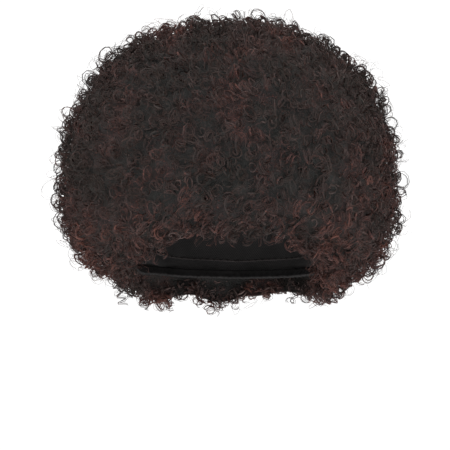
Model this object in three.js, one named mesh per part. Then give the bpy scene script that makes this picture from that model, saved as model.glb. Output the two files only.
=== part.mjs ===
// A round curly costume wig: a stretch cap with an elastic rim, and tiers of curly locks sewn round it.
// Millimetres, +Z up. The wearer faces -Y, and the origin is where the crown of the head meets the cap.
import * as THREE from "three";
import { ConvexHull } from "three/addons/math/ConvexHull.js";

// The head that the cap fits: its widest level lies below the crown
const headWidth = 154;
const headLength = 194;
const headDome = 92;
const headBelowDome = 130;
const headPower = 2.2;

// The cap and its elastic are one cloth thickness, with a seam gap between them
const clothWall = 1.8;
const elasticWidth = 10;
const seamGap = 0.4;
const hairOverhang = 15;

// How far the locks stand out from the head, and the round outline of their tips
const sideDepth = 63.5;
const frontDepth = 40;
const backDepth = 55;
const crownDepth = 92;
const hairWidestDrop = 50;
const hairBelowWidest = 104;
const hairPower = 2.25;

// The hair's lower edge below the crown at the nape, and the rows that follow it round the face
const napeDrop = 148;
const hairlineRows = [
  { turnDeg: 0, drop: 0.545 },
  { turnDeg: 22, drop: 0.57 },
  { turnDeg: 42, drop: 0.62 },
  { turnDeg: 58, drop: 0.71 },
  { turnDeg: 72, drop: 0.83 },
  { turnDeg: 90, drop: 0.9 },
  { turnDeg: 120, drop: 0.93 },
  { turnDeg: 150, drop: 0.98 },
  { turnDeg: 180, drop: 1 },
];

// The locks: each one bulges between creases, leans and swirls a little
const lockPitch = 30;
const lockBulge = 10;
const lockLean = 4;
const lockDroop = 0.6;
const lockTwistDeg = 26;
const lockUnevenness = 0.3;
const lockRings = [
  { spread: 0.46, risen: 0.88 },
  { spread: 0.82, risen: 0.56 },
];
const edgeThinning = 0.45;
const edgeThinningFrom = 0.8;
const hemBulge = 6;
const hemDepth = 9;
const hairSeat = 0.2;
const tierGap = 0.6;

// The tiers from the crown down: each one ends at this share of the way to the hairline
const tierRows = [
  { name: "crown_tier", until: 0.27 },
  { name: "upper_tier", until: 0.47 },
  { name: "middle_tier", until: 0.65 },
  { name: "lower_tier", until: 0.82 },
  { name: "hairline_tier", until: 1 },
];

// The grid of the cap and the elastic
const capTurns = 36;
const capRows = 7;

const hairColour = 0x342c2b;
const capColour = 0x1d1a1a;
const elasticColour = 0x151313;

const degree = Math.PI / 180;
const goldenTurn = Math.PI * (3 - Math.sqrt(5));
const hexagonShare = Math.sqrt(3) / 2;
const halvings = 40;
const hub = new THREE.Vector3(0, 0, -hairWidestDrop);

const headForm = {
  drop: headDome,
  side: headWidth / 2,
  front: headLength / 2,
  back: headLength / 2,
  above: headDome,
  below: headBelowDome,
  power: headPower,
};
const hairForm = {
  drop: hairWidestDrop,
  side: headForm.side + sideDepth,
  front: headForm.front + frontDepth,
  back: headForm.back + backDepth,
  above: hairWidestDrop + crownDepth,
  below: hairBelowWidest,
  power: hairPower,
};

// The same form, larger all round by an amount.
function grown(form, amount) {
  const larger = { ...form };
  for (const size of ["side", "front", "back", "above", "below"]) {
    larger[size] += amount;
  }
  return larger;
}

const capInside = headForm;
const capOutside = grown(headForm, clothWall);

// The flat facets under a lock dip this far into the head's tightest curve
const tightestRadius = headWidth ** 2 / (2 * headLength);
const rootPitch = (lockPitch * headForm.back) / hairForm.back;
const facetDip = rootPitch ** 2 / (8 * tightestRadius);
const hairInside = grown(capOutside, hairSeat + facetDip);

// Directions from the hub: turn goes round from the front, tilt comes down from straight up.
function directionAt(turn, tilt) {
  const across = Math.sin(tilt);
  return new THREE.Vector3(across * Math.sin(turn), -across * Math.cos(turn), Math.cos(tilt));
}

function tiltOf(direction) {
  return Math.acos(THREE.MathUtils.clamp(direction.z, -1, 1));
}

function turnOf(direction) {
  return Math.atan2(direction.x, -direction.y);
}

// How far out of a form a point lies: 1 on its surface.
function fullness(form, point) {
  const height = point.z + form.drop;
  const across = Math.abs(point.x / form.side);
  const along = Math.abs(point.y / (point.y < 0 ? form.front : form.back));
  const up = Math.abs(height / (height > 0 ? form.above : form.below));
  return across ** form.power + along ** form.power + up ** form.power;
}

// The distance from the hub to a form's surface along a direction.
function reach(form, direction) {
  let inside = 0;
  let outside = 2 * Math.max(form.side, form.front, form.back, form.above, form.below);
  for (let halving = 0; halving < halvings; halving += 1) {
    const middle = (inside + outside) / 2;
    const point = hub.clone().addScaledVector(direction, middle);
    if (fullness(form, point) < 1) {
      inside = middle;
    } else {
      outside = middle;
    }
  }
  return inside;
}

function pointOn(form, direction) {
  return hub.clone().addScaledVector(direction, reach(form, direction));
}

// The tilt at which the head's surface lies a given drop below the crown.
function tiltAtDrop(turn, drop) {
  let high = 0;
  let low = Math.PI;
  for (let halving = 0; halving < halvings; halving += 1) {
    const middle = (high + low) / 2;
    if (-pointOn(headForm, directionAt(turn, middle)).z < drop) {
      high = middle;
    } else {
      low = middle;
    }
  }
  return high;
}

const edgeDrops = new THREE.CubicInterpolant(
  hairlineRows.map((row) => row.turnDeg * degree),
  hairlineRows.map((row) => row.drop * napeDrop),
  1,
);

// The tilt of the hair's lower edge, and of a line above it on the cap.
function edgeTilt(turn, above = 0) {
  const [drop] = edgeDrops.evaluate(Math.abs(turn));
  return tiltAtDrop(turn, drop - above);
}

// A number from 0 to 1 that stays the same for a lock on every run.
function scatter(index, salt) {
  const wave = Math.sin(index * 12.9898 + salt * 78.233) * 43758.5453;
  return wave - Math.floor(wave);
}

// Triangles that share their corners, kept by key.
class Skin {
  constructor() {
    this.positions = [];
    this.indices = [];
    this.known = new Map();
  }

  corner(key, makePoint) {
    if (!this.known.has(key)) {
      this.known.set(key, this.positions.length / 3);
      this.positions.push(...makePoint().toArray());
    }
    return this.known.get(key);
  }

  triangle(a, b, c) {
    this.indices.push(a, b, c);
  }

  fan([first, ...others]) {
    for (let place = 0; place + 1 < others.length; place += 1) {
      this.triangle(first, others[place], others[place + 1]);
    }
  }

  quad(a, b, c, d) {
    this.fan([a, b, c, d]);
  }

  geometry() {
    const made = new THREE.BufferGeometry();
    made.setAttribute("position", new THREE.Float32BufferAttribute(this.positions, 3));
    made.setIndex(this.indices);
    made.computeVertexNormals();
    return made;
  }
}

// The even spiral of lock directions over the whole ball. Those past the hairline only shape its edge.
function makeLocks() {
  const ballRadius = (hairForm.side + hairForm.front + hairForm.back + hairForm.above) / 4;
  const count = Math.round((4 * Math.PI * ballRadius ** 2) / (lockPitch ** 2 * hexagonShare));
  const halfPitch = lockPitch / ballRadius / 2;
  const locks = [];
  for (let index = 0; index < count; index += 1) {
    const looseness = (lockUnevenness * lockPitch) / ballRadius;
    const tilt = Math.acos(1 - (2 * index + 1) / count) + (scatter(index, 1) - 0.5) * looseness;
    const turn = index * goldenTurn + ((scatter(index, 2) - 0.5) * looseness) / Math.sin(tilt);
    const direction = directionAt(turn, tilt);
    const share = (tiltOf(direction) + halfPitch) / edgeTilt(turnOf(direction));
    const tier = tierRows.findIndex((row) => share <= row.until);
    locks.push({ index, direction, tier, creases: [] });
  }
  return locks;
}

function isPastHairline(lock) {
  return lock.tier < 0;
}

// Gives each three neighbouring locks the crease corner that lies midway between them.
function addCreases(locks) {
  const byPoint = new Map(locks.map((lock) => [lock.direction, lock]));
  const hull = new ConvexHull().setFromPoints(locks.map((lock) => lock.direction));
  hull.faces.forEach((face, index) => {
    const around = [face.edge, face.edge.next, face.edge.next.next];
    const own = around.map((edge) => byPoint.get(edge.head().point));
    const direction = new THREE.Vector3();
    own.forEach((lock) => direction.add(lock.direction));
    direction.normalize();
    own.forEach((lock) => lock.creases.push({ index, direction, locks: own }));
  });
}

// Orders a lock's creases anticlockwise, seen from outside.
function sortCreases(lock) {
  const side = new THREE.Vector3(0, 0, 1).cross(lock.direction).normalize();
  const up = lock.direction.clone().cross(side);
  const angle = (crease) => Math.atan2(crease.direction.dot(up), crease.direction.dot(side));
  lock.creases.sort((a, b) => angle(a) - angle(b));
}

// The share of the hair's full depth that is left towards its lower edge.
function depthShare(direction) {
  const share = tiltOf(direction) / edgeTilt(turnOf(direction));
  const past = THREE.MathUtils.clamp((share - edgeThinningFrom) / (1 - edgeThinningFrom), 0, 1);
  return THREE.MathUtils.lerp(edgeThinning, 1, Math.sqrt(1 - past ** 2));
}

// The radius of the hair's skin, a given depth under the tips of the locks.
function skinRadius(direction, depth) {
  const inner = reach(hairInside, direction);
  const full = (reach(hairForm, direction) - depth - inner) * depthShare(direction);
  return inner + Math.max(full, hemDepth);
}

// The side that a lock lies on, seen from the crease that parts it from its neighbour.
function sideOfCrease(crease, lock, neighbour) {
  const shared = lock.creases.filter((each) => each.locks.includes(neighbour));
  const farEnd = shared.find((each) => each.index !== crease.index);
  const facing = crease.direction.clone().cross(farEnd.direction).normalize();
  return facing.dot(lock.direction) < 0 ? facing.negate() : facing;
}

// A crease corner of one tier, drawn back from the other tiers by half the gap along each shared crease.
function creasePoint(crease, tier, radius) {
  const point = hub.clone().addScaledVector(crease.direction, radius);
  const own = crease.locks.filter((lock) => lock.tier === tier);
  const others = crease.locks.filter((lock) => lock.tier !== tier);
  if (others.length > 0) {
    const sides = own.flatMap((lock) => others.map((other) => sideOfCrease(crease, lock, other)));
    const [first, second] = sides;
    point.addScaledVector(first.clone().add(second), tierGap / 2 / (1 + first.dot(second)));
  }
  return point;
}

// Under the hair's lower edge the locks hang a little past their creases, midway through the hair's depth.
function hemPoint(crease, tier) {
  const outer = creasePoint(crease, tier, skinRadius(crease.direction, lockBulge));
  const inner = creasePoint(crease, tier, reach(hairInside, crease.direction));
  const downward = directionAt(turnOf(crease.direction), tiltOf(crease.direction) + Math.PI / 2);
  return outer.lerp(inner, 0.5).addScaledVector(downward, hemBulge);
}

// The rounded, leaning and swirling end of one lock.
function addLockEnd(skin, lock, outer) {
  const corners = outer.map((corner) => new THREE.Vector3().fromArray(skin.positions, corner * 3));
  const base = new THREE.Vector3();
  corners.forEach((corner) => base.add(corner));
  base.divideScalar(corners.length);
  const unevenness = (scatter(lock.index, 3) - 0.5) * lockUnevenness * lockBulge;
  const baseRadius = base.clone().sub(hub).dot(lock.direction);
  const height = skinRadius(lock.direction, 0) + unevenness - baseRadius;
  const rise = lock.direction.clone().multiplyScalar(height);
  const leanTurn = scatter(lock.index, 4) * 2 * Math.PI;
  const lean = new THREE.Vector3(Math.cos(leanTurn), Math.sin(leanTurn), -lockDroop);
  lean.projectOnPlane(lock.direction).setLength(lockLean * scatter(lock.index, 5));
  const swirl = (scatter(lock.index, 6) < 0.5 ? -1 : 1) * lockTwistDeg * degree;

  let previous = outer;
  for (const { spread, risen } of [...lockRings].reverse()) {
    const ring = corners.map((corner, place) =>
      skin.corner(`${lock.index} ring ${spread} ${place}`, () =>
        corner
          .clone()
          .sub(base)
          .multiplyScalar(spread)
          .applyAxisAngle(lock.direction, swirl * (1 - spread))
          .add(base)
          .addScaledVector(rise, risen)
          .addScaledVector(lean, risen ** 2),
      ),
    );
    ring.forEach((corner, place) => {
      const next = (place + 1) % ring.length;
      skin.quad(previous[place], previous[next], ring[next], corner);
    });
    previous = ring;
  }
  const peak = skin.corner(`${lock.index} peak`, () => base.clone().add(rise).add(lean));
  previous.forEach((corner, place) => {
    skin.triangle(corner, previous[(place + 1) % previous.length], peak);
  });
}

// One tier: the lock ends outside, the backing on the cap inside, and walls at its upper and lower edges.
function makeTier(locks, tier) {
  const skin = new Skin();
  const outerCorner = (crease) =>
    skin.corner(`outer ${crease.index}`, () =>
      creasePoint(crease, tier, skinRadius(crease.direction, lockBulge)),
    );
  const innerCorner = (crease) =>
    skin.corner(`inner ${crease.index}`, () =>
      creasePoint(crease, tier, reach(hairInside, crease.direction)),
    );
  const hemCorners = (crease) =>
    crease.locks.some(isPastHairline)
      ? [skin.corner(`hem ${crease.index}`, () => hemPoint(crease, tier))]
      : [];
  for (const lock of locks.filter((each) => each.tier === tier)) {
    addLockEnd(skin, lock, lock.creases.map(outerCorner));
    const root = skin.corner(`${lock.index} root`, () => pointOn(hairInside, lock.direction));
    lock.creases.forEach((crease, place) => {
      const next = lock.creases[(place + 1) % lock.creases.length];
      skin.triangle(innerCorner(next), innerCorner(crease), root);
      const neighbour = next.locks.find((each) => each !== lock && crease.locks.includes(each));
      if (neighbour.tier !== tier) {
        skin.fan([
          outerCorner(next),
          outerCorner(crease),
          ...hemCorners(crease),
          innerCorner(crease),
          innerCorner(next),
          ...hemCorners(next),
        ]);
      }
    });
  }
  return skin.geometry();
}

// A strip of cloth on the head, from one tilt to another at each turn. A cap's strip starts at the crown.
function makeCloth(fromTilt, toTilt, rows) {
  const skin = new Skin();
  const closedCrown = fromTilt === null;
  const corner = (side, form, row, step) => {
    const turn = ((step % capTurns) / capTurns) * 2 * Math.PI - Math.PI;
    const start = closedCrown ? 0 : fromTilt(turn);
    const tilt = THREE.MathUtils.lerp(start, toTilt(turn), row / rows);
    const place = closedCrown && row === 0 ? "crown" : `${row} ${step % capTurns}`;
    return skin.corner(`${side} ${place}`, () => pointOn(form, directionAt(turn, tilt)));
  };
  for (let step = 0; step < capTurns; step += 1) {
    const outside = (row, past) => corner("outside", capOutside, row, step + past);
    const inside = (row, past) => corner("inside", capInside, row, step + past);
    for (let row = 0; row < rows; row += 1) {
      if (closedCrown && row === 0) {
        skin.triangle(outside(0, 0), outside(1, 0), outside(1, 1));
        skin.triangle(inside(0, 0), inside(1, 1), inside(1, 0));
      } else {
        skin.quad(outside(row, 0), outside(row + 1, 0), outside(row + 1, 1), outside(row, 1));
        skin.quad(inside(row, 0), inside(row, 1), inside(row + 1, 1), inside(row + 1, 0));
      }
    }
    skin.quad(outside(rows, 0), inside(rows, 0), inside(rows, 1), outside(rows, 1));
    if (!closedCrown) {
      skin.quad(outside(0, 0), outside(0, 1), inside(0, 1), inside(0, 0));
    }
  }
  return skin.geometry();
}

function addPiece(group, name, geometry, material) {
  const piece = new THREE.Mesh(geometry, material);
  piece.name = name;
  group.add(piece);
}

const hairFibre = new THREE.MeshStandardMaterial({ color: hairColour, roughness: 0.75, metalness: 0 });
const capNet = new THREE.MeshStandardMaterial({ color: capColour, roughness: 0.9, metalness: 0 });
const rimElastic = new THREE.MeshStandardMaterial({ color: elasticColour, roughness: 0.8, metalness: 0 });

const wig = new THREE.Group();
wig.name = "curly_wig";

const capEdge = (turn) => edgeTilt(turn, hairOverhang + elasticWidth + seamGap);
const elasticTop = (turn) => edgeTilt(turn, hairOverhang + elasticWidth);
const elasticFoot = (turn) => edgeTilt(turn, hairOverhang);
addPiece(wig, "stretch_cap", makeCloth(null, capEdge, capRows), capNet);
addPiece(wig, "rim_elastic", makeCloth(elasticTop, elasticFoot, 1), rimElastic);

const locks = makeLocks();
addCreases(locks);
locks.forEach(sortCreases);
tierRows.forEach((row, tier) => {
  addPiece(wig, row.name, makeTier(locks, tier), hairFibre);
});

export default wig;
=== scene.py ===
# A round curly costume wig, held up as if worn: tiers of tight curls over a stretch cap with an elastic rim
import math

import bpy
import numpy as np
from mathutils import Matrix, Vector, noise
from mathutils.bvhtree import BVHTree


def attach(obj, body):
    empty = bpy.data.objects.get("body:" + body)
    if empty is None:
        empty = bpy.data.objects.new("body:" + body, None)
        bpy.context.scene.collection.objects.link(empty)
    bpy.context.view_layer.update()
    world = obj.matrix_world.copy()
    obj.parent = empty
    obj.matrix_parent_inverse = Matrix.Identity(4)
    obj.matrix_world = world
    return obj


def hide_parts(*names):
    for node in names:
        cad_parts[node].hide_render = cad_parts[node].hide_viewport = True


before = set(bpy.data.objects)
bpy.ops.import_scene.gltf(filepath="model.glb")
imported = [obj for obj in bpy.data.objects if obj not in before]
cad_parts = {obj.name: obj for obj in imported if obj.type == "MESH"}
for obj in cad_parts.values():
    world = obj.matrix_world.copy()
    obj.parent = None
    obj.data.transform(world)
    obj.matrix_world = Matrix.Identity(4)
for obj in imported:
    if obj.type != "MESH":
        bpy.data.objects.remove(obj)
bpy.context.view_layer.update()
scene = bpy.context.scene
tierNames = ["crown_tier", "upper_tier", "middle_tier", "lower_tier", "hairline_tier"]


# Small helpers for arrays of points
def unit(vectors):
    length = np.linalg.norm(vectors, axis=-1, keepdims=True)
    return vectors / np.maximum(length, 1e-12)


def dot(a, b):
    return np.sum(a * b, axis=-1, keepdims=True)


def mix(a, b, share):
    return a + (b - a) * share


def ease(low, high, value):
    share = np.clip((value - low) / (high - low), 0, 1)
    return share * share * (3 - 2 * share)


def smoothRound(values, times):  # along the turns, which close on themselves
    for _ in range(times):
        values = (np.roll(values, 1, axis=-1) + 2 * values + np.roll(values, -1, axis=-1)) / 4
    return values


def smoothDown(values, times):  # from row to row, with the first and last kept
    for _ in range(times):
        values = values.copy()
        values[1:-1] = (values[:-2] + 2 * values[1:-1] + values[2:]) / 4
    return values


def smoothBoth(values, times):
    return smoothDown(smoothRound(values, times), times)


# The solids are read by rays from a hub in the middle of the hair
guide = {
    "hub": (0.0, 0.0, -0.05),
    "rayLength": 0.4,
    "turns": 144,
    "hairRows": 72,
    "hairSmoothing": 2,
    "innerSmoothing": 6,
    "hairEdgeSmoothing": 36,
    "clothEdgeSmoothing": 10,
    "edgeBetweenDeg": (60, 175),
    "edgeHalvings": 16,
    "hemRows": 9,
    "hemDrop": 0.007,
    "insideRows": 6,
    "insideRise": 0.013,  # how far the hair's inner side climbs from its lower edge to the elastic
}
hub = np.array(guide["hub"])
turns = np.linspace(-math.pi, math.pi, guide["turns"], endpoint=False)


def directionAt(turn, tilt):  # turn goes round from the front, tilt comes down from straight up
    across = np.sin(tilt)
    return np.stack([across * np.sin(turn), -across * np.cos(turn), np.cos(tilt)], axis=-1)


def treeOf(*nodeNames):
    corners, faces, owners = [], [], []
    for owner, name in enumerate(nodeNames):
        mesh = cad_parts[name].data
        offset = len(corners)
        corners += [tuple(vertex.co) for vertex in mesh.vertices]
        faces += [[offset + corner for corner in face.vertices] for face in mesh.polygons]
        owners += [owner] * len(mesh.polygons)
    return BVHTree.FromPolygons(corners, faces), owners


def hitOf(tree, direction, inward):
    reach = guide["rayLength"]
    direction = Vector(direction)
    if inward:
        place, _, face, _ = tree.ray_cast(Vector(hub) + direction * reach, -direction, reach)
    else:
        place, _, face, _ = tree.ray_cast(Vector(hub), direction, reach)
    return (math.nan, -1) if place is None else ((place - Vector(hub)).length, face)


def edgeTilts(tree, smoothing):  # the tilt at which the piece ends, at each turn
    edges = []
    for turn in turns:
        high, low = map(math.radians, guide["edgeBetweenDeg"])
        for _ in range(guide["edgeHalvings"]):
            middle = (high + low) / 2
            radius, _ = hitOf(tree, directionAt(turn, middle), True)
            high, low = (high, middle) if math.isnan(radius) else (middle, low)
        edges.append(high)
    return smoothRound(np.array(edges), smoothing)


# One row of hits per tilt row. A miss takes the row above, and in the first row the mean of its hits.
def radiiOf(tree, tilts, inward):
    radii = np.zeros(tilts.shape)
    faces = np.zeros(tilts.shape, int)
    for row in range(tilts.shape[0]):
        for column, turn in enumerate(turns):
            radius, face = hitOf(tree, directionAt(turn, tilts[row, column]), inward)
            if math.isnan(radius) and row > 0:
                radius, face = radii[row - 1, column], faces[row - 1, column]
            radii[row, column] = radius
            faces[row, column] = face
        radii[row] = np.where(np.isnan(radii[row]), np.nanmean(radii[row]), radii[row])
    radii[0] = radii[0].mean()  # one radius, as at the crown's pole
    return radii, faces


hairTree, hairOwners = treeOf(*tierNames)
capTree, _ = treeOf("stretch_cap")
clothTree, _ = treeOf("stretch_cap", "rim_elastic")
hairEdge = edgeTilts(hairTree, guide["hairEdgeSmoothing"])
capEdge = edgeTilts(capTree, guide["clothEdgeSmoothing"])
clothEdge = edgeTilts(clothTree, guide["clothEdgeSmoothing"])

hairShares = np.linspace(0, 1, guide["hairRows"])[:, None]
outerRadii, outerFaces = radiiOf(hairTree, hairShares * hairEdge, True)
innerRadii, _ = radiiOf(hairTree, hairShares * hairEdge, False)
outerRadii = smoothBoth(outerRadii, guide["hairSmoothing"])
innerRadii = smoothBoth(innerRadii, guide["innerSmoothing"])
tierGrid = np.array(hairOwners)[outerFaces]
print("guides: hair read from the solids")


# The hair's skin as one grid: down the outside, round the lower edge and up the inside
def makeHairSkin():
    outer = hub + directionAt(turns, hairShares * hairEdge) * outerRadii[..., None]
    inside = hub + directionAt(turns, hairEdge) * innerRadii[-1][:, None]
    middle, half = (outer[-1] + inside) / 2, (outer[-1] - inside) / 2
    downward = directionAt(turns, hairEdge + math.pi / 2)
    rows = [outer]
    for row in range(1, guide["hemRows"] + 1):
        angle = math.pi * row / (guide["hemRows"] + 1)
        point = middle + half * math.cos(angle) + downward * guide["hemDrop"] * math.sin(angle)
        rows.append(point[None])
    for row in range(guide["insideRows"]):
        rise = guide["insideRise"] * row / (guide["insideRows"] - 1)
        tilt = hairEdge - rise / innerRadii[-1]
        rows.append((hub + directionAt(turns, tilt) * innerRadii[-1][:, None])[None])
    points = np.concatenate(rows)
    below = points.shape[0] - tierGrid.shape[0]
    tiers = np.concatenate([tierGrid, np.repeat(tierGrid[-1:], below, axis=0)])
    alongTurns = np.roll(points, -1, axis=1) - np.roll(points, 1, axis=1)
    alongRows = np.gradient(points, axis=0)
    normals = unit(np.cross(alongRows, alongTurns))
    normals[0] = unit(normals[1].mean(axis=0))
    downhill = unit(alongRows)
    downhill[0] = downhill[1]
    return {"points": points, "normals": normals, "downhill": downhill, "tiers": tiers}


hairSkin = makeHairSkin()
lastHairRow = guide["hairRows"] - 1


def readSkin(field, rowPlaces, turnPlaces):  # a field of the skin between its grid points
    row = np.clip(np.floor(rowPlaces).astype(int), 0, field.shape[0] - 2)
    column = np.floor(turnPlaces).astype(int)
    alongRow = (rowPlaces - row)[:, None]
    alongTurn = (turnPlaces - column)[:, None]
    left, right = column % field.shape[1], (column + 1) % field.shape[1]
    upper = mix(field[row, left], field[row, right], alongTurn)
    lower = mix(field[row + 1, left], field[row + 1, right], alongTurn)
    return mix(upper, lower, alongRow)


def readRound(values, turnPlaces):  # one value per turn, read between the turns
    ring = np.stack([values, values])[..., None]
    return readSkin(ring, turnPlaces * 0, turnPlaces)[:, 0]


# The hair swells in uneven lumps, and in a few tufts where the photograph shows them
swell = {
    "lumps": 0.0028,
    "lumpScale": 46.0,
    "tufts": [
        {"turnDeg": 95, "tiltDeg": 52, "rise": 0.0075, "spreadDeg": 8},
        {"turnDeg": 95, "tiltDeg": 34, "rise": 0.002, "spreadDeg": 7},
        {"turnDeg": 95, "tiltDeg": 102, "rise": 0.004, "spreadDeg": 7},
        {"turnDeg": 95, "tiltDeg": 121, "rise": 0.0075, "spreadDeg": 10},
        {"turnDeg": -85, "tiltDeg": 116, "rise": 0.004, "spreadDeg": 8},
        {"turnDeg": -85, "tiltDeg": 76, "rise": 0.002, "spreadDeg": 18},
        {"turnDeg": -85, "tiltDeg": 40, "rise": 0.003, "spreadDeg": 8},
        {"turnDeg": -85, "tiltDeg": 22, "rise": 0.002, "spreadDeg": 7},
    ],
}


def swellAt(points):
    lumps = [noise.noise(Vector(point) * swell["lumpScale"]) for point in points]
    rise = np.array(lumps) * swell["lumps"]
    directions = unit(points - hub)
    for tuft in swell["tufts"]:
        towards = directionAt(math.radians(tuft["turnDeg"]), math.radians(tuft["tiltDeg"]))
        angle = np.arccos(np.clip(directions @ towards, -1, 1))
        rise += tuft["rise"] * np.exp(-((angle / math.radians(tuft["spreadDeg"])) ** 2))
    return rise


def scatterPlaces(shape):  # places on the skin, no two closer than the spacing
    rng = np.random.default_rng(shape["seed"])
    spacing, tries = shape["spacing"], shape["tries"]
    firstRow, lastRow = (round(share * lastHairRow) for share in shape["rows"])
    points = hairSkin["points"][firstRow : lastRow + 1]
    right = np.roll(points, -1, axis=1)
    areas = np.linalg.norm(np.cross(right[1:] - points[:-1], points[1:] - right[:-1]), axis=-1) / 2
    chance = np.cumsum(areas.ravel()) / areas.sum()
    cells = np.searchsorted(chance, rng.random(tries))
    rowPlaces = firstRow + cells // areas.shape[1] + rng.random(tries)
    turnPlaces = cells % areas.shape[1] + rng.random(tries)
    found = readSkin(hairSkin["points"], rowPlaces, turnPlaces)
    kept, keptPoints, count = [], np.empty_like(found), 0
    for index, point in enumerate(found):
        gaps = keptPoints[:count] - point
        if count == 0 or np.min(np.einsum("ij,ij->i", gaps, gaps)) > spacing * spacing:
            keptPoints[count] = point
            count += 1
            kept.append(index)
    rowPlaces, turnPlaces = rowPlaces[kept], turnPlaces[kept]
    nearest = hairSkin["tiers"][
        np.round(rowPlaces).astype(int), np.round(turnPlaces).astype(int) % guide["turns"]
    ]
    return {
        "points": found[kept],
        "normals": unit(readSkin(hairSkin["normals"], rowPlaces, turnPlaces)),
        "downhill": unit(readSkin(hairSkin["downhill"], rowPlaces, turnPlaces)),
        "tiers": nearest,
        "swell": swellAt(found[kept]),
    }


# A curl's strands differ a little from each other, and its loose ones differ more
strands = {
    "looseRadius": (0.75, 1.35),
    "evenRadius": (0.9, 1.1),
    "loosePhase": (-0.9, 0.9),
    "evenPhase": (-0.15, 0.15),
    "looseWindings": (0.8, 1.1),
    "evenWindings": (0.96, 1.04),
    "looseWander": 2.5,
    "ranks": (0, 1, -1, 0.5),  # each strand's place along the coil's axis, in band widths
    "lengths": (0.88, 1),
    "slowWaver": (4, 11),
    "quickWaver": (11, 23),
    "waverPhase": (0, 6.3),
    "quickShare": 0.5,
    "narrowStart": 0.7,
    "widening": (0.1, 0.4),
    "closingFrom": 0.55,
    "taperFrom": 0.7,
    "rootSpread": 0.4,
    "widthSpread": (0.85, 1.15),
}
# Painted light: curls low down and near the top get a lighter, warmer tone, and strands under the hair's
# skin count as deep and are lifted with painted light
strandTones = {
    "spread": (-0.16, 0.16),
    "paintedLightLow": 1.3,
    "paintedLightLowHeights": (0.0, -0.12),
    "paintedLightHigh": 0.5,
    "paintedLightHighHeights": (0.03, 0.09),
    "deepRises": (0.0, -0.0065),
}


# A curl is a coil of a few strands round a tilted axis, with a stem down into the core
def windCurls(places, shape):
    rng = np.random.default_rng(shape["seed"])
    count, perCurl = len(places["points"]), len(shape["widths"])
    steps = np.linspace(0, 1, shape["segments"] + 1)[None, :, None]

    def between(key):
        low, high = shape[key]
        return rng.uniform(low, high, (count, 1, 1))

    def spread(values):  # from one row per curl to one row per strand
        return np.repeat(values, perCurl, axis=0)

    normal = places["normals"][:, None, :]
    downhill = places["downhill"][:, None, :]
    sideways = unit(rng.normal(size=(count, 1, 3)))
    level = np.cross(normal, downhill)
    sideways = unit(sideways + shape["droop"] * downhill + shape["upright"] * level)
    lean = unit(sideways - normal * dot(sideways, normal))
    side = np.cross(normal, lean)
    tilt = between("tilt")
    axis = normal * np.cos(tilt) + lean * np.sin(tilt)
    other = np.cross(axis, side)
    middle = places["points"][:, None, :] + normal * (between("proud") + places["swell"][:, None, None])
    root = places["points"][:, None, :] - normal * shape["stemDepth"]
    coilHeight, radius, windings = between("height"), between("radius"), between("windings")
    closing = between("closing")
    squash = 1 + rng.uniform(-1, 1, (count, 1, 1)) * shape["squash"]
    phase = rng.uniform(0, 2 * math.pi, (count, 1, 1))
    hand = rng.choice([-1.0, 1.0], (count, 1, 1))
    curlTone = rng.random((count, 1, 1))
    bends = rng.normal(size=(count, 4, 3)) * shape["bend"]
    normal, side, axis, other, middle, root = map(spread, (normal, side, axis, other, middle, root))
    coilHeight, closing, squash, hand, bends = map(spread, (coilHeight, closing, squash, hand, bends))
    total = count * perCurl

    def each(low, high):
        return rng.uniform(low, high, (total, 1, 1))

    def uneven(trait):
        return np.where(loose, each(*strands["loose" + trait]), each(*strands["even" + trait]))

    loose = rng.random((total, 1, 1)) < shape["looseShare"]
    radius = spread(radius) * uneven("Radius")
    phase = spread(phase) + uneven("Phase")
    windings = spread(windings) * uneven("Windings")
    rank = np.tile(np.array(strands["ranks"])[:perCurl], count)[:, None, None]
    along = steps * each(*strands["lengths"])
    wander = shape["wander"] * np.where(loose, strands["looseWander"], 1.0)

    def waver():
        slow = np.sin(along * each(*strands["slowWaver"]) + each(*strands["waverPhase"]))
        quick = np.sin(along * each(*strands["quickWaver"]) + each(*strands["waverPhase"]))
        return slow + strands["quickShare"] * quick

    closed = 1 - closing * ease(strands["closingFrom"], 1, along)
    widened = mix(strands["narrowStart"], 1, ease(*strands["widening"], along))
    wound = radius * closed * widened + waver() * wander
    angle = phase + hand * 2 * math.pi * windings * along
    climb = coilHeight * (along - shape["start"]) + rank * shape["band"] + waver() * wander
    paths = middle + axis * climb
    paths = paths + np.cos(angle) * side * squash * wound + np.sin(angle) * other / squash * wound
    for wave, pace in enumerate((3, 6)):
        paths = paths + bends[:, 2 * wave, None] * np.sin(along * pace)
        paths = paths + bends[:, 2 * wave + 1, None] * (np.cos(along * pace) - 1)
    stem = ease(0, shape["stem"], along)
    paths = mix(root + side * radius * strands["rootSpread"] * np.cos(phase), paths, stem)
    # Painted light: the tone is raised low down and near the top, and each set's tone shift adds painted
    # light
    heights = places["points"][:, 2]
    paintedHeightLight = strandTones["paintedLightLow"] * ease(*strandTones["paintedLightLowHeights"], heights)
    paintedHeightLight = paintedHeightLight + strandTones["paintedLightHigh"] * ease(*strandTones["paintedLightHighHeights"], heights)
    curlTone = curlTone + paintedHeightLight[:, None, None] + shape["toneShift"]
    tone = (spread(curlTone) + each(*strandTones["spread"])) * np.ones_like(along)
    width = np.tile(np.array(shape["widths"]), count)[:, None, None] * each(*strands["widthSpread"])
    width = width * (1 - shape["taper"] * ease(strands["taperFrom"], 1, steps))
    rise = dot(paths - spread(places["points"][:, None, :]), normal)
    # How far a strand lies under the hair's skin; deep strands get painted light that lifts them
    deep = ease(*strandTones["deepRises"], rise)
    owner = np.repeat(pieceOf(places), perCurl)
    values = {"fibreTone": tone, "fibreAlong": along, "fibreDeep": deep}
    return {"paths": paths, "across": axis, "width": width, "values": values, "owner": owner}


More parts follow.
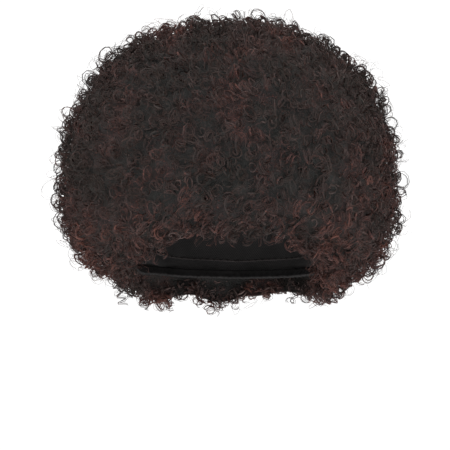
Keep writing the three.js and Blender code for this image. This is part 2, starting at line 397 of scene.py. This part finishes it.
# Closed tubes along the paths. The section lists its corners anticlockwise: across, then outward.
def sweep(wound, section):
    paths, sides = wound["paths"], len(section)
    total, rings = paths.shape[:2]
    tangent = unit(np.gradient(paths, axis=1))
    across = wound["across"] * np.ones_like(paths)
    across = unit(across - tangent * dot(across, tangent))
    outward = np.cross(tangent, across)
    corners = np.stack(
        [paths + (across * wide + outward * high) * wound["width"] / 2 for wide, high in section], axis=2
    )
    first = (np.arange(total) * rings * sides)[:, None, None]
    ring = (np.arange(rings - 1) * sides)[None, :, None]
    here, after = np.arange(sides), (np.arange(sides) + 1) % sides
    base = first + ring
    quads = np.stack([base + here, base + after, base + sides + after, base + sides + here], axis=-1)
    quads = quads.reshape(total, -1, 4)
    start = np.arange(total)[:, None] * rings * sides
    ends = np.concatenate([start + here[::-1], start + (rings - 1) * sides + here], axis=1)
    ends = ends.reshape(total, 2, sides)
    everyRing = np.ones((total, rings, 1))
    values = {}
    for key, numbers in wound["values"].items():
        values[key] = np.repeat(numbers * everyRing, sides, axis=2).reshape(total, -1)
    values["fibreAcross"] = np.tile([wide for wide, _ in section], (total, rings))
    return {
        "corners": corners.reshape(total, -1, 3),
        "quads": quads,
        "ends": ends,
        "values": values,
        "owner": wound["owner"],
    }


def pieceOf(places):  # the crown is one piece, and each other tier has a front and a back piece
    behind = (places["points"][:, 1] > 0) & (places["tiers"] > 0)
    return places["tiers"] * 2 + behind


def addMesh(name, corners, faces, material, values=None):
    mesh = bpy.data.meshes.new(name)
    corners = np.ascontiguousarray(corners, np.float32)
    mesh.vertices.add(len(corners))
    mesh.vertices.foreach_set("co", corners.ravel())
    sizes = np.concatenate([np.full(len(group), group.shape[1]) for group in faces])
    mesh.loops.add(int(sizes.sum()))
    indices = np.concatenate([group.ravel() for group in faces])
    mesh.loops.foreach_set("vertex_index", indices.astype(np.int32))
    mesh.polygons.add(len(sizes))
    mesh.polygons.foreach_set("loop_start", (np.cumsum(sizes) - sizes).astype(np.int32))
    mesh.update(calc_edges=True)
    mesh.shade_smooth()
    for key, numbers in (values or {}).items():
        attribute = mesh.attributes.new(key, "FLOAT", "POINT")
        attribute.data.foreach_set("value", numbers.astype(np.float32))
    mesh.materials.append(material)
    piece = bpy.data.objects.new(name, mesh)
    scene.collection.objects.link(piece)
    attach(piece, "root")
    return piece


# Materials
def addGroup(name, inputs, outputs):
    group = bpy.data.node_groups.new(name, "ShaderNodeTree")
    for label, kind, value in inputs:
        socket = group.interface.new_socket(label, in_out="INPUT", socket_type="NodeSocket" + kind)
        if value is not None:
            socket.default_value = value
    for label, kind in outputs:
        group.interface.new_socket(label, in_out="OUTPUT", socket_type="NodeSocket" + kind)
    return group, group.nodes.new("NodeGroupInput"), group.nodes.new("NodeGroupOutput")


def addNode(tree, kind, **values):
    node = tree.nodes.new("ShaderNode" + kind)
    for key, value in values.items():
        if key in node.inputs:
            node.inputs[key].default_value = value
        else:
            setattr(node, key, value)
    return node


def setRamp(node, stops):
    ramp = node.color_ramp
    while len(ramp.elements) < len(stops):
        ramp.elements.new(0.5)
    for element, (place, colour) in zip(ramp.elements, stops):
        element.position = place
        element.color = (*colour, 1)


fibreFinish = {
    "dark": (0.0240, 0.0246, 0.0236),
    "brown": (0.0362, 0.0284, 0.0280),
    "warm": (0.0585, 0.0302, 0.0290),
    "rust": (0.1200, 0.0520, 0.0420),
    # Painted light: a lighter, redder colour for the tips, for light coming through the thin ends
    "paintedTipLight": (0.0600, 0.0350, 0.0330),
    "scattered": (0.1100, 0.0830, 0.0790),  # painted light: deep fibres are lightened towards this colour, in place of light passed on from fibre to fibre
    "scatter": 0.85,
    "tipShare": 0.3,
    "tipFrom": 0.55,
    "patchScale": 32.0,
    # Painted glints: small light specks in the fibres' colour
    "paintedGlintScale": 620.0,
    "paintedGlintBetween": (0.52, 0.74),
    "laneStart": 60.0,  # each strand's tone picks its own lanes
    "laneCount": 3.6,
    "ownTone": 0.3,
    "patchTone": 2.5,
    "paintedGlintTone": 0.65,
    "laneTone": 0.25,
    "toneShift": -1.35,
    "roughness": (0.75, 0.55),
}


def addSum(tree, terms, start):  # a weighted sum of sockets
    last = start
    for socket, weight in terms:
        node = addNode(tree, "Math", operation="MULTIPLY_ADD")
        node.inputs[1].default_value = weight
        tree.links.new(socket, node.inputs[0])
        if isinstance(last, float):
            node.inputs[2].default_value = last
        else:
            tree.links.new(last, node.inputs[2])
        last = node.outputs[0]
    return last


# A fibre's colour: its own tone, broad patches that are partly painted light and shade, small painted
# glints, lanes across it, and painted light at its tip and on its deep parts
def makeFibreTones():
    tree, given, made = addGroup(
        "fibreTones",
        [
            ("Tone", "Float", 0.5),
            ("Along", "Float", 0.0),
            ("Across", "Float", 0.0),
            ("Tip share", "Float", 0.3),
            ("Deep", "Float", 0.0),
        ],
        [("Color", "Color"), ("Roughness", "Float")],
    )
    link = tree.links.new
    place = addNode(tree, "TexCoord")
    # Broad patches: tone that differs at random, partly painted light and shade of curl fronts and gaps
    patches = addNode(tree, "TexNoise", Scale=fibreFinish["patchScale"], Detail=3.0)
    # Painted glints: a fine noise whose peaks make small light specks
    paintedGlints = addNode(tree, "TexNoise", Scale=fibreFinish["paintedGlintScale"], Detail=1.0)
    link(place.outputs["Object"], patches.inputs["Vector"])
    link(place.outputs["Object"], paintedGlints.inputs["Vector"])
    lane = addSum(
        tree,
        [
            (given.outputs["Tone"], fibreFinish["laneStart"]),
            (given.outputs["Across"], fibreFinish["laneCount"]),
        ],
        0.0,
    )
    lanes = addNode(tree, "TexNoise", noise_dimensions="1D", Scale=1.0, Detail=1.0)
    link(lane, lanes.inputs["W"])
    bright = addNode(tree, "MapRange")
    bright.inputs["From Min"].default_value = fibreFinish["paintedGlintBetween"][0]
    bright.inputs["From Max"].default_value = fibreFinish["paintedGlintBetween"][1]
    link(paintedGlints.outputs["Fac"], bright.inputs["Value"])
    tone = addSum(
        tree,
        [
            (given.outputs["Tone"], fibreFinish["ownTone"]),
            (patches.outputs["Fac"], fibreFinish["patchTone"]),
            (bright.outputs["Result"], fibreFinish["paintedGlintTone"]),
            (lanes.outputs["Fac"], fibreFinish["laneTone"]),
        ],
        fibreFinish["toneShift"],
    )
    ramp = addNode(tree, "ValToRGB")
    setRamp(
        ramp,
        [
            (0.1, fibreFinish["dark"]),
            (0.45, fibreFinish["brown"]),
            (0.8, fibreFinish["warm"]),
            (1.0, fibreFinish["rust"]),
        ],
    )
    link(tone, ramp.inputs["Fac"])
    # Painted light: the tips turn lighter and redder, for light coming through the thin ends
    nearTip = addNode(tree, "MapRange", interpolation_type="SMOOTHSTEP")
    nearTip.inputs["From Min"].default_value = fibreFinish["tipFrom"]
    link(given.outputs["Along"], nearTip.inputs["Value"])
    link(given.outputs["Tip share"], nearTip.inputs["To Max"])
    paintedTipMix = addNode(tree, "Mix", data_type="RGBA")
    paintedTipMix.inputs["B"].default_value = (*fibreFinish["paintedTipLight"], 1)
    link(nearTip.outputs["Result"], paintedTipMix.inputs["Factor"])
    link(ramp.outputs["Color"], paintedTipMix.inputs["A"])
    # Painted light: the deep parts are lightened towards a pale colour, in place of light passed on from
    # fibre to fibre
    scattered = addNode(tree, "Math", operation="MULTIPLY")
    scattered.inputs[1].default_value = fibreFinish["scatter"]
    link(given.outputs["Deep"], scattered.inputs[0])
    paintedLift = addNode(tree, "Mix", data_type="RGBA")
    paintedLift.inputs["B"].default_value = (*fibreFinish["scattered"], 1)
    link(scattered.outputs[0], paintedLift.inputs["Factor"])
    link(paintedTipMix.outputs["Result"], paintedLift.inputs["A"])
    link(paintedLift.outputs["Result"], made.inputs["Color"])
    rough = addNode(tree, "MapRange")
    rough.inputs["To Min"].default_value = fibreFinish["roughness"][0]
    rough.inputs["To Max"].default_value = fibreFinish["roughness"][1]
    link(tone, rough.inputs["Value"])
    link(rough.outputs["Result"], made.inputs["Roughness"])
    return tree


def placeGroup(tree, group, **values):
    node = tree.nodes.new("ShaderNodeGroup")
    node.node_tree = group
    for key, value in values.items():
        node.inputs[key].default_value = value
    return node


def newMaterial(name):
    material = bpy.data.materials.new(name)
    material.use_nodes = True
    return material, material.node_tree, material.node_tree.nodes["Principled BSDF"]


fibreTones = makeFibreTones()


def addSheen(shader):  # the soft shine of loose fibres where they are seen from the side
    shader.inputs["Sheen Weight"].default_value = 0.05
    shader.inputs["Sheen Roughness"].default_value = 0.4
    shader.inputs["Sheen Tint"].default_value = (1.0, 0.45, 0.3, 1)


def makeCurlMaterial():
    material, tree, shader = newMaterial("curled_fibre")
    tones = placeGroup(tree, fibreTones, **{"Tip share": fibreFinish["tipShare"]})
    for trait in ("Tone", "Along", "Across", "Deep"):
        reader = addNode(tree, "Attribute", attribute_name="fibre" + trait)
        tree.links.new(reader.outputs["Fac"], tones.inputs[trait])
    tree.links.new(tones.outputs["Color"], shader.inputs["Base Color"])
    tree.links.new(tones.outputs["Roughness"], shader.inputs["Roughness"])
    shader.inputs["Specular IOR Level"].default_value = 0.15
    shader.inputs["Specular Tint"].default_value = (1.0, 0.72, 0.64, 1)
    addSheen(shader)
    return material


packedFinish = {
    "swirlScale": 95.0,
    "swirlBend": 1.2,
    "fibresPerSwirl": 95.0,
    "toneSwing": 0.3,
    "toneMiddle": 0.35,
    "relief": 0.0005,
}


# The level lines of a noise look like bundles of fibres that lie side by side
def makeCoreMaterial():
    material, tree, shader = newMaterial("packed_fibre")
    link = tree.links.new
    tones = placeGroup(tree, fibreTones)
    place = addNode(tree, "TexCoord")
    swirls = addNode(tree, "TexNoise", Scale=packedFinish["swirlScale"], Detail=1.0)
    swirls.inputs["Distortion"].default_value = packedFinish["swirlBend"]
    spread = addNode(tree, "Math", operation="MULTIPLY")
    spread.inputs[1].default_value = packedFinish["fibresPerSwirl"]
    wave = addNode(tree, "Math", operation="SINE")
    lift = addNode(tree, "Math", operation="MULTIPLY_ADD")
    lift.inputs[1].default_value = packedFinish["toneSwing"]
    lift.inputs[2].default_value = packedFinish["toneMiddle"]
    bump = addNode(tree, "Bump", Strength=0.6, Distance=packedFinish["relief"])
    link(place.outputs["Object"], swirls.inputs["Vector"])
    link(swirls.outputs["Fac"], spread.inputs[0])
    link(spread.outputs[0], wave.inputs[0])
    link(wave.outputs[0], lift.inputs[0])
    link(wave.outputs[0], bump.inputs["Height"])
    link(lift.outputs[0], tones.inputs["Tone"])
    link(tones.outputs["Color"], shader.inputs["Base Color"])
    link(bump.outputs["Normal"], shader.inputs["Normal"])
    shader.inputs["Roughness"].default_value = 0.8
    shader.inputs["Specular IOR Level"].default_value = 0.2
    addSheen(shader)
    return material


curlMaterial = makeCurlMaterial()
coreMaterial = makeCoreMaterial()

# The curls: tight coils all over, broader bands under them, open ringlets, hanging ringlets along the
# lower edge, and a haze of single fibres
tightCurls = {
    "seed": 11,
    "rows": (0, 1.13),
    "spacing": 0.0090,
    "tries": 26000,
    "segments": 14,
    "widths": (0.0007, 0.0005, 0.0004),
    "windings": (1.6, 2.6),
    "radius": (0.0026, 0.0047),
    "height": (0.0035, 0.0085),
    "tilt": (0.35, 1.5),
    "start": 0.5,
    "stem": 0.2,
    "stemDepth": 0.007,
    "proud": (-0.0035, 0.0010),
    "droop": 0.4,
    "upright": 0.45,
    "closing": (0.0, 0.6),
    "squash": 0.25,
    "bend": 0.0004,
    "band": 0.0008,
    "wander": 0.00028,
    "looseShare": 0.3,
    "taper": 0.5,
    "toneShift": 0.0,
}
bandCurls = {
    **tightCurls,
    "seed": 12,
    "spacing": 0.0086,
    "tries": 30000,
    "segments": 11,
    "widths": (0.0018,),
    "windings": (1.2, 1.8),
    "radius": (0.0026, 0.0048),
    "tilt": (0.2, 1.3),
    "proud": (-0.0045, 0.0),
    "looseShare": 0.0,
    "taper": 0.75,
    # Painted light: the bands under the coils get a lighter tone against the shade they sit in
    "toneShift": 0.35,
}
openRinglets = {
    **tightCurls,
    "seed": 15,
    "rows": (0, 1.05),
    "spacing": 0.0140,
    "tries": 9000,
    "segments": 17,
    "widths": (0.0008, 0.0005, 0.0003),
    "radius": (0.0038, 0.0064),
    "tilt": (0.6, 1.5),
    "proud": (-0.001, 0.0034),
    "droop": 0.0,
    "upright": 1.8,
    "closing": (0.1, 0.7),
    "band": 0.0006,
    "looseShare": 0.2,
    # Painted light: the open ringlets at the outside get a lighter, redder tone, as if light came through
    # them
    "toneShift": 0.3,
}
hemRinglets = {
    **tightCurls,
    "seed": 14,
    "rows": (0.97, 1.12),
    "spacing": 0.0086,
    "tries": 9000,
    "height": (0.007, 0.013),
    "tilt": (0.9, 1.6),
    "start": 0.15,
    "proud": (-0.002, 0.004),
    "droop": 2.2,
    "upright": 0.0,
    "looseShare": 0.15,
    # Painted light: the ringlets along the lower edge get a lighter, warmer tone
    "toneShift": 0.2,
}
hazeFibres = {
    **tightCurls,
    "seed": 13,
    "rows": (0, 1.1),
    "spacing": 0.0115,
    "tries": 12000,
    "segments": 10,
    "widths": (0.00027, 0.0002),
    "windings": (0.6, 1.2),
    "radius": (0.0040, 0.0085),
    "height": (0.004, 0.012),
    "start": 0.3,
    "proud": (0.0, 0.0052),
    "closing": (-0.3, 0.4),
    "bend": 0.0006,
    "wander": 0.0003,
    "looseShare": 1.0,
    # Painted light: the haze of single fibres gets a lighter, redder tone, as if light came through it
    "toneShift": 0.8,
}
thirds = (0, 2 * math.pi / 3, 4 * math.pi / 3)
roundSection = [(math.cos(angle), math.sin(angle)) for angle in thirds]
ribbonSection = [(1, 0), (0, 0.22), (-1, 0), (0, -0.22)]
bandSection = [(1, 0), (0, 0.35), (-1, 0)]

curlSets = [
    (tightCurls, roundSection),
    (bandCurls, bandSection),
    (openRinglets, roundSection),
    (hemRinglets, roundSection),
    (hazeFibres, roundSection),
]
tubeSets = []
for shape, section in curlSets:
    places = scatterPlaces(shape)
    tubeSets.append(sweep(windCurls(places, shape), section))
    print("curls:", len(places["points"]), "places,", len(tubeSets[-1]["owner"]), "strands")


def addCurlPieces():
    for owner in sorted(set(np.concatenate([tubes["owner"] for tubes in tubeSets]))):
        corners, quads, ends, offset = [], [], [], 0
        values = {key: [] for key in tubeSets[0]["values"]}
        for tubes in tubeSets:
            chosen = np.flatnonzero(tubes["owner"] == owner)
            own = tubes["corners"][chosen]
            perTube = own.shape[1]
            shift = (offset + (np.arange(len(chosen)) - chosen) * perTube)[:, None, None]
            corners.append(own.reshape(-1, 3))
            quads.append((tubes["quads"][chosen] + shift).reshape(-1, 4))
            ends.append((tubes["ends"][chosen] + shift).reshape(-1, tubes["ends"].shape[2]))
            for key, numbers in tubes["values"].items():
                values[key].append(numbers[chosen].ravel())
            offset += len(chosen) * perTube
        tier = tierNames[owner // 2]
        name = tier.replace("_tier", "_curls")
        if owner > 1:
            name += "_back" if owner % 2 else "_front"
        corners = np.concatenate(corners)
        values = {key: np.concatenate(numbers) for key, numbers in values.items()}
        piece = addMesh(name, corners, quads + ends, curlMaterial, values)
        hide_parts(tier)
        triangles = sum(len(group) * (group.shape[1] - 2) for group in quads + ends)
        print("piece", name, triangles, "triangles")


addCurlPieces()

# The packed fibre under the curls, one closed shell per tier
core = {
    "columns": 240,
    "skinLength": 0.26,  # from the crown down to the lower edge
    "hairRowLength": 0.0039,
    "rowLength": 0.0038,
    "hemRowShare": 0.8,
    "edgeRows": 0.06,  # a row this close to each end keeps the edge crisp
    "crownStart": 0.6,
    "hemEnd": 2.0,
    "insideRows": 4,
    "insideStart": 4.0,
    "depth": 0.0068,
    "thinShare": 0.4,
    "relief": 0.0022,
    "reliefScale": 170.0,
    "seat": 0.0005,
    "tierGap": 0.0001,
    "shares": (0, 0.27, 0.47, 0.65, 0.82, 1),
}
coreTurns = np.linspace(-math.pi, math.pi, core["columns"], endpoint=False)
coreColumns = np.arange(core["columns"]) * guide["turns"] / core["columns"]


def coreRing(rowPlace):  # a ring of the core's outside under a row of the hair's skin
    rows = np.full(core["columns"], rowPlace)
    points = readSkin(hairSkin["points"], rows, coreColumns)
    normals = unit(readSkin(hairSkin["normals"], rows, coreColumns))
    hairRow = np.minimum(rows, lastHairRow)
    thickness = readSkin((outerRadii - innerRadii)[..., None], hairRow, coreColumns)[:, 0]
    depth = np.minimum(core["depth"], core["thinShare"] * thickness)
    lumps = [noise.turbulence(Vector(point) * core["reliefScale"], 3, True) for point in points]
    depth = depth - core["relief"] * (np.array(lumps) - 0.5) * np.minimum(1, depth / core["depth"])
    rise = swellAt(points) * np.minimum(1, depth / core["depth"])
    return points + normals * (rise - depth)[:, None]


def backingRing(rowPlace):  # a ring of the core's inside, just clear of the cap
    rows = np.full(core["columns"], rowPlace)
    radii = readSkin(innerRadii[..., None], rows, coreColumns)[:, 0] + core["seat"]
    tilt = readRound(hairEdge, coreColumns) * rowPlace / lastHairRow
    return hub + directionAt(coreTurns, tilt) * radii[:, None]


# Rings joined into one skin: round into the first again, or with a pole at each end
def addShell(name, rings, material, closed, values=None):
    columns = len(rings[0])
    corners = np.concatenate(rings)
    steps = np.arange(columns)
    after = (steps + 1) % columns
    joined = list(zip(range(len(rings)), range(1, len(rings))))
    if closed:
        joined.append((len(rings) - 1, 0))
    quads = []
    for low, high in joined:
        near, far = low * columns, high * columns
        quads.append(np.stack([near + steps, far + steps, far + after, near + after], axis=-1))
    faces = [np.concatenate(quads)]
    if not closed:
        top, foot = len(corners), len(corners) + 1
        corners = np.concatenate([corners, [rings[0].mean(axis=0)], [rings[-1].mean(axis=0)]])
        last = (len(rings) - 1) * columns
        topFan = np.stack([np.full(columns, top), steps, after], axis=-1)
        footFan = np.stack([np.full(columns, foot), last + after, last + steps], axis=-1)
        faces.append(np.concatenate([topFan, footFan]))
    return addMesh(name, corners, faces, material, values)


def addCores():
    for tier, name in enumerate(tierNames):
        upper, lower = core["shares"][tier], core["shares"][tier + 1]
        gap = core["tierGap"] / 2 / core["skinLength"] * lastHairRow
        start = upper * lastHairRow + (gap if tier else core["crownStart"])
        end = lower * lastHairRow - gap
        final = tier == len(tierNames) - 1
        if final:
            end = hairSkin["points"].shape[0] - core["hemEnd"]
        length = (min(end, lastHairRow) - start) * core["hairRowLength"]
        rows = max(4, round(length / core["rowLength"]))
        if final:
            rows += round((end - lastHairRow) * core["hemRowShare"])
        steps = np.linspace(start, end, rows)
        edges = [start + core["edgeRows"], end - core["edgeRows"]]
        rings = [coreRing(place) for place in np.sort(np.concatenate([steps, edges]))]
        insideEnd = min(end, lastHairRow - core["insideStart"])
        rings += [backingRing(place) for place in np.linspace(insideEnd, start, core["insideRows"])]
        piece = addShell(name.replace("_tier", "_core"), rings, coreMaterial, tier > 0)
        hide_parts(name)
        print("core", name, len(piece.data.polygons) * 2, "triangles")


addCores()

# The cap and its elastic, and the thread that sews the rows of hair on
cloth = {
    "netColor": (0.021, 0.0195, 0.0195),
    "elasticColor": (0.019, 0.0175, 0.0175),
    "threadColor": (0.042, 0.036, 0.035),
    # Painted shade between the threads and painted light on their tops, varied by a noise of wear
    "wornAndLitScale": 60.0,
    "paintedThreadShade": (0.35, 1.5),
    "smoothing": 12,
    "capRows": 40,
    "elasticColumns": 480,
    "elasticRows": 7,
    "elasticReadAt": (0.12, 0.5, 0.88),
    "elasticSeat": 0.0003,
    "seamGap": 0.0004,
    "ribs": 5,
    "ribDepth": 0.00014,
    "gathers": 96,
    "slowGathers": 37,
    "slowPhase": 1.3,
    "gatherDepth": 0.00028,
    "gatherPull": 0.0004,
}


def makeWeave():  # threads crossing on the slant, in metres round and down the cloth, with painted shade between them and painted light on their tops
    tree, given, made = addGroup(
        "netWeave",
        [
            ("Around", "Float", 0.0),
            ("Down", "Float", 0.0),
            ("Threads", "Float", 1500.0),
            ("Slant", "Float", 1.0),
            ("Base", "Color", (0.02, 0.02, 0.02, 1)),
        ],
        [("Color", "Color"), ("Height", "Float")],
    )
    link = tree.links.new
    slanted = addNode(tree, "Math", operation="MULTIPLY")
    link(given.outputs["Around"], slanted.inputs[0])
    link(given.outputs["Slant"], slanted.inputs[1])
    waves = []
    for operation in ("ADD", "SUBTRACT"):
        crossing = addNode(tree, "Math", operation=operation)
        link(given.outputs["Down"], crossing.inputs[0])
        link(slanted.outputs[0], crossing.inputs[1])
        count = addNode(tree, "Math", operation="MULTIPLY")
        link(crossing.outputs[0], count.inputs[0])
        link(given.outputs["Threads"], count.inputs[1])
        wave = addNode(tree, "Math", operation="SINE")
        link(count.outputs[0], wave.inputs[0])
        square = addNode(tree, "Math", operation="MULTIPLY")
        link(wave.outputs[0], square.inputs[0])
        link(wave.outputs[0], square.inputs[1])
        waves.append(square)
    top = addNode(tree, "Math", operation="MAXIMUM")
    link(waves[0].outputs[0], top.inputs[0])
    link(waves[1].outputs[0], top.inputs[1])
    place = addNode(tree, "TexCoord")
    # Painted shade and light: the colour is darker between the threads and lighter on their tops, unevenly
    # along a noise of wear
    wornAndLit = addNode(tree, "TexNoise", Scale=cloth["wornAndLitScale"], Detail=3.0)
    link(place.outputs["Object"], wornAndLit.inputs["Vector"])
    shade = addNode(tree, "MapRange")
    shade.inputs["To Min"].default_value = cloth["paintedThreadShade"][0]
    shade.inputs["To Max"].default_value = cloth["paintedThreadShade"][1]
    blend = addNode(tree, "Math", operation="MULTIPLY")
    link(top.outputs[0], blend.inputs[0])
    link(wornAndLit.outputs["Fac"], blend.inputs[1])
    link(blend.outputs[0], shade.inputs["Value"])
    tint = addNode(tree, "Mix", data_type="RGBA", blend_type="MULTIPLY")
    tint.inputs["Factor"].default_value = 1.0
    link(given.outputs["Base"], tint.inputs["A"])
    link(shade.outputs["Result"], tint.inputs["B"])
    link(tint.outputs["Result"], made.inputs["Color"])
    link(top.outputs[0], made.inputs["Height"])
    return tree


netWeave = makeWeave()


def makeClothMaterial(name, color, threads, slant, relief, roughness):
    material, tree, shader = newMaterial(name)
    weave = placeGroup(tree, netWeave, Threads=threads, Slant=slant, Base=(*color, 1))
    for key, socket in (("clothAround", "Around"), ("clothDown", "Down")):
        reader = addNode(tree, "Attribute", attribute_name=key)
        tree.links.new(reader.outputs["Fac"], weave.inputs[socket])
    bump = addNode(tree, "Bump", Strength=0.8, Distance=relief)
    tree.links.new(weave.outputs["Height"], bump.inputs["Height"])
    tree.links.new(weave.outputs["Color"], shader.inputs["Base Color"])
    tree.links.new(bump.outputs["Normal"], shader.inputs["Normal"])
    shader.inputs["Roughness"].default_value = roughness
    shader.inputs["Specular IOR Level"].default_value = 0.25
    return material


netMaterial = makeClothMaterial("stretch_net", cloth["netColor"], 1500.0, 1.0, 0.0003, 0.85)
elasticMaterial = makeClothMaterial("ribbed_elastic", cloth["elasticColor"], 2600.0, 0.3, 0.0002, 0.8)
threadMaterial = makeClothMaterial("sewing_thread", cloth["threadColor"], 4000.0, 2.0, 0.00008, 0.7)


def clothRadii(tree, tilts):  # the outside and the inside of a cloth solid, rounded between its facets
    outside = smoothBoth(radiiOf(tree, tilts, True)[0], cloth["smoothing"])
    inside = smoothBoth(radiiOf(tree, tilts, False)[0], cloth["smoothing"])
    return outside, inside


capTilts = np.linspace(0, 1, cloth["capRows"])[:, None] * capEdge
capOutside, capInside = clothRadii(capTree, capTilts)
headRadius = float(np.mean(capInside[-1]))


def addCap():
    outside = hub + directionAt(turns, capTilts) * capOutside[..., None]
    inside = hub + directionAt(turns, capTilts) * capInside[..., None]
    rings = list(outside[1:]) + list(inside[:0:-1])
    down = list(capTilts[1:]) + list(capTilts[:0:-1])
    values = {
        "clothAround": np.concatenate([np.abs(turns) * headRadius for _ in rings] + [[0, 0]]),
        "clothDown": np.concatenate([tilt * headRadius for tilt in down] + [[0, 0]]),
    }
    piece = addShell("net_cap", rings, netMaterial, False, values)
    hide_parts("stretch_cap")
    print("piece net_cap", len(piece.data.polygons) * 2, "triangles")


def addElastic():
    columns = cloth["elasticColumns"]
    fineTurns = np.linspace(-math.pi, math.pi, columns, endpoint=False)
    around = np.arange(columns) * guide["turns"] / columns
    low, high = capEdge + cloth["seamGap"] / headRadius, clothEdge
    tilts = np.stack([mix(low, high, share) for share in cloth["elasticReadAt"]])
    outside, inside = clothRadii(clothTree, tilts)
    outer, inner = readRound(outside.mean(axis=0), around), readRound(inside.mean(axis=0), around)
    low, high = readRound(low, around), readRound(high, around)
    gather = np.sin(fineTurns * cloth["gathers"])
    gather = gather + 0.5 * np.sin(fineTurns * cloth["slowGathers"] + cloth["slowPhase"])
    rings, down = [], []
    for face, radius in ((1, outer), (-1, inner)):
        for share in np.linspace(0, 1, cloth["elasticRows"])[::face]:
            rib = cloth["ribDepth"] * math.cos(2 * math.pi * cloth["ribs"] * share)
            puff = cloth["gatherDepth"] * gather * math.sin(math.pi * share)
            pull = cloth["gatherPull"] / headRadius * gather * (share - 0.5)
            tilt = mix(low, high, share) + pull
            reach = radius + face * rib + puff - cloth["elasticSeat"]
            rings.append(hub + directionAt(fineTurns, tilt) * reach[:, None])
            down.append(tilt * headRadius)
    values = {
        "clothAround": np.tile(np.abs(fineTurns) * headRadius, len(rings)),
        "clothDown": np.concatenate(down),
    }
    piece = addShell("elastic_band", rings, elasticMaterial, True, values)
    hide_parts("rim_elastic")
    print("piece elastic_band", len(piece.data.polygons) * 2, "triangles")


seams = {
    "rows": 8,
    "from": 0.2,
    "to": 0.96,
    "stitches": 96,
    "zigzag": 0.0016,
    "thread": 0.0006,
    "binding": 0.0026,
    "proud": 0.0003,
    "threadProud": 0.0004,
}


def addSeams():  # inside the cap, a binding and a zigzag stitch under each row of hair
    corners, quads, ends, around, down, offset = [], [], [], [], [], 0
    steps = seams["stitches"] * 2 + 1
    for row in range(seams["rows"]):
        share = mix(seams["from"], seams["to"], row / (seams["rows"] - 1))
        places = np.linspace(0, guide["turns"], steps)
        turn = -math.pi + places / guide["turns"] * 2 * math.pi
        capRow = np.full(steps, share * (cloth["capRows"] - 1))
        radius = readSkin(capInside[..., None], capRow, places)[:, 0]
        edge = readRound(capEdge, places)
        swing = np.where(np.arange(steps) % 2, 1, -1) * seams["zigzag"]
        for kind, section in (("binding", ribbonSection), ("thread", roundSection)):
            tilt = edge * share + (swing / radius if kind == "thread" else 0)
            lift = seams["proud"] + (seams["threadProud"] if kind == "thread" else 0)
            path = hub + directionAt(turn, tilt) * (radius - lift)[:, None]
            downward = directionAt(turn, tilt + math.pi / 2)
            wound = {
                "paths": path[None],
                "across": downward[None],
                "width": np.full((1, steps, 1), seams[kind]),
                "values": {"clothAround": (np.abs(turn) * headRadius)[None, :, None]},
                "owner": np.zeros(1, int),
            }
            tube = sweep(wound, section)
            corners.append(tube["corners"][0])
            quads.append(tube["quads"][0] + offset)
            ends.append(tube["ends"][0] + offset)
            around.append(tube["values"]["clothAround"][0])
            down.append(tube["values"]["fibreAcross"][0] * seams[kind] / 2)
            offset += len(tube["corners"][0])
    corners = np.concatenate(corners)
    values = {"clothAround": np.concatenate(around), "clothDown": np.concatenate(down)}
    addMesh("weft_seams", corners, quads + ends, threadMaterial, values)
    triangles = sum(len(group) * (group.shape[1] - 2) for group in quads + ends)
    print("piece weft_seams", triangles, "triangles")


addCap()
addElastic()
addSeams()

# Camera at the photograph's angle
view = {"turnDeg": 5.0, "distance": 1.6, "height": -0.0786, "slide": -0.0036, "lens": 154.8}


def addCamera():
    data = bpy.data.cameras.new("camera")
    data.lens = view["lens"]
    data.sensor_width = 36
    data.clip_start, data.clip_end = 0.05, 400
    camera = bpy.data.objects.new("camera", data)
    turn = math.radians(view["turnDeg"])
    right = Vector((math.cos(turn), math.sin(turn), 0))
    back = Vector((math.sin(turn), -math.cos(turn), 0))
    camera.location = back * view["distance"] + right * view["slide"]
    camera.location.z = view["height"]
    camera.rotation_euler = (math.pi / 2, 0, turn)
    scene.collection.objects.link(camera)
    scene.camera = camera


addCamera()

# A pale floor far below, a pale surround and soft lamps
studio = {"floorDrop": 1.6, "floorSize": 300, "surround": 1.12, "aim": (0, 0, -0.04)}
lamps = [
    {"name": "key", "place": (-1.1, -1.6, 1.3), "size": 1.4, "power": 12},
    {"name": "fill", "place": (1.5, -1.4, 0.3), "size": 1.4, "power": 7},
    {"name": "low", "place": (0.0, -1.5, -1.2), "size": 1.4, "power": 10},
    {"name": "top", "place": (0.1, 0.3, 1.8), "size": 1.4, "power": 10},
]


def addStudio():
    size = studio["floorSize"] / 2
    mesh = bpy.data.meshes.new("floor")
    corners = [(-size, -size, 0), (size, -size, 0), (size, size, 0), (-size, size, 0)]
    mesh.from_pydata(corners, [], [(0, 1, 2, 3)])
    floor = bpy.data.objects.new("floor", mesh)
    floor.location = (0, 0, -studio["floorDrop"])
    scene.collection.objects.link(floor)
    material, tree, shader = newMaterial("pale_floor")
    speckle = addNode(tree, "TexNoise", Scale=0.6)
    ramp = addNode(tree, "ValToRGB")
    setRamp(ramp, [(0.3, (0.93, 0.93, 0.93)), (0.7, (0.96, 0.96, 0.96))])
    tree.links.new(speckle.outputs["Fac"], ramp.inputs["Fac"])
    tree.links.new(ramp.outputs["Color"], shader.inputs["Base Color"])
    shader.inputs["Roughness"].default_value = 0.9
    mesh.materials.append(material)
    world = bpy.data.worlds.new("surround")
    world.use_nodes = True
    background = world.node_tree.nodes["Background"]
    background.inputs["Color"].default_value = (1, 1, 1, 1)
    background.inputs["Strength"].default_value = studio["surround"]
    scene.world = world
    for lamp in lamps:
        data = bpy.data.lights.new(lamp["name"], "AREA")
        data.size = lamp["size"]
        data.energy = lamp["power"]
        light = bpy.data.objects.new(lamp["name"], data)
        light.location = lamp["place"]
        aim = Vector(studio["aim"]) - light.location
        light.rotation_euler = aim.to_track_quat("-Z", "Y").to_euler()
        scene.collection.objects.link(light)
    scene.view_settings.view_transform = "Standard"


addStudio()
